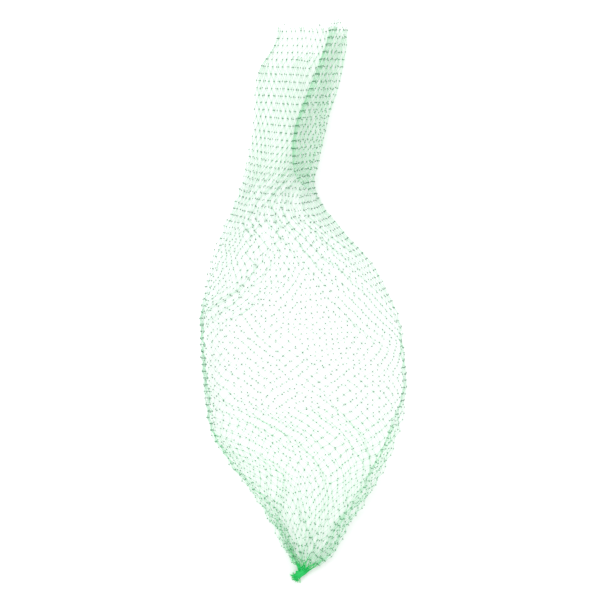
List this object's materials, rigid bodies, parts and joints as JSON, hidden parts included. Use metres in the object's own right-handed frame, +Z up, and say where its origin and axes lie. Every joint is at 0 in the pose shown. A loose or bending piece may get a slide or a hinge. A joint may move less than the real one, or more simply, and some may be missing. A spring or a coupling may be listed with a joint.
{
  "type": "net bag",
  "caption": "Tubular bag of green extruded plastic diamond mesh, lying flat: open mouth, folded neck, wide belly and a foot gathered into a fused lump.",
  "frame": {"origin": "middle of the bag's footprint, on the surface it lies on", "axes": "+X across the bag, +Y along it from the foot to the open mouth, +Z up"},
  "size_m": [0.163, 0.4511, 0.04],
  "materials": {
    "netting": "translucent pale green extruded polyethylene, satin gloss",
    "melted_net": "the same plastic melted into a solid saturated green lump"
  },
  "bodies": {
    "root": {"mouth_lip": "netting", "neck_netting": "netting", "neck_fold": "netting", "shoulder_netting": "netting", "belly_netting": "netting", "foot_netting": "netting", "end_weld": "melted_net", "tail_tuft": "melted_net"}
  },
  "joints": []
}
